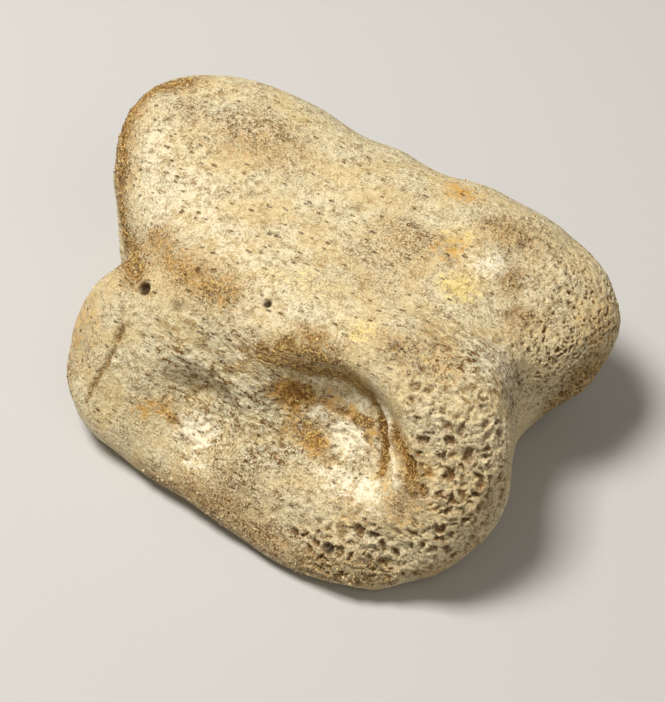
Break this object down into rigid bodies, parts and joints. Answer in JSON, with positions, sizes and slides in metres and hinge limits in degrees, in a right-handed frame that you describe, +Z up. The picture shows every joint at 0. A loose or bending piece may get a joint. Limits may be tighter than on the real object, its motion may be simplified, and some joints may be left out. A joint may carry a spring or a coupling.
{
  "type": "fossil dinosaur toe bone",
  "caption": "Fossil toe bone of a plant-eating dinosaur: a squat, waisted block with a grooved far end, a cupped near end and ligament pits in its sides.",
  "frame": {"origin": "middle of the bone's box, at the level of the worn patches that it rests on", "axes": "+X along the toe to the grooved end with its two condyles, -Y to the sloping side with two ligament pits, +Z up out of the smooth upper face"},
  "size_m": [0.0894, 0.0688, 0.0333],
  "materials": {
    "fossil_bone": "matt cream and brown mineral bone, porous at the ends"
  },
  "bodies": {
    "root": {"toe_bone": "fossil_bone"}
  },
  "joints": []
}
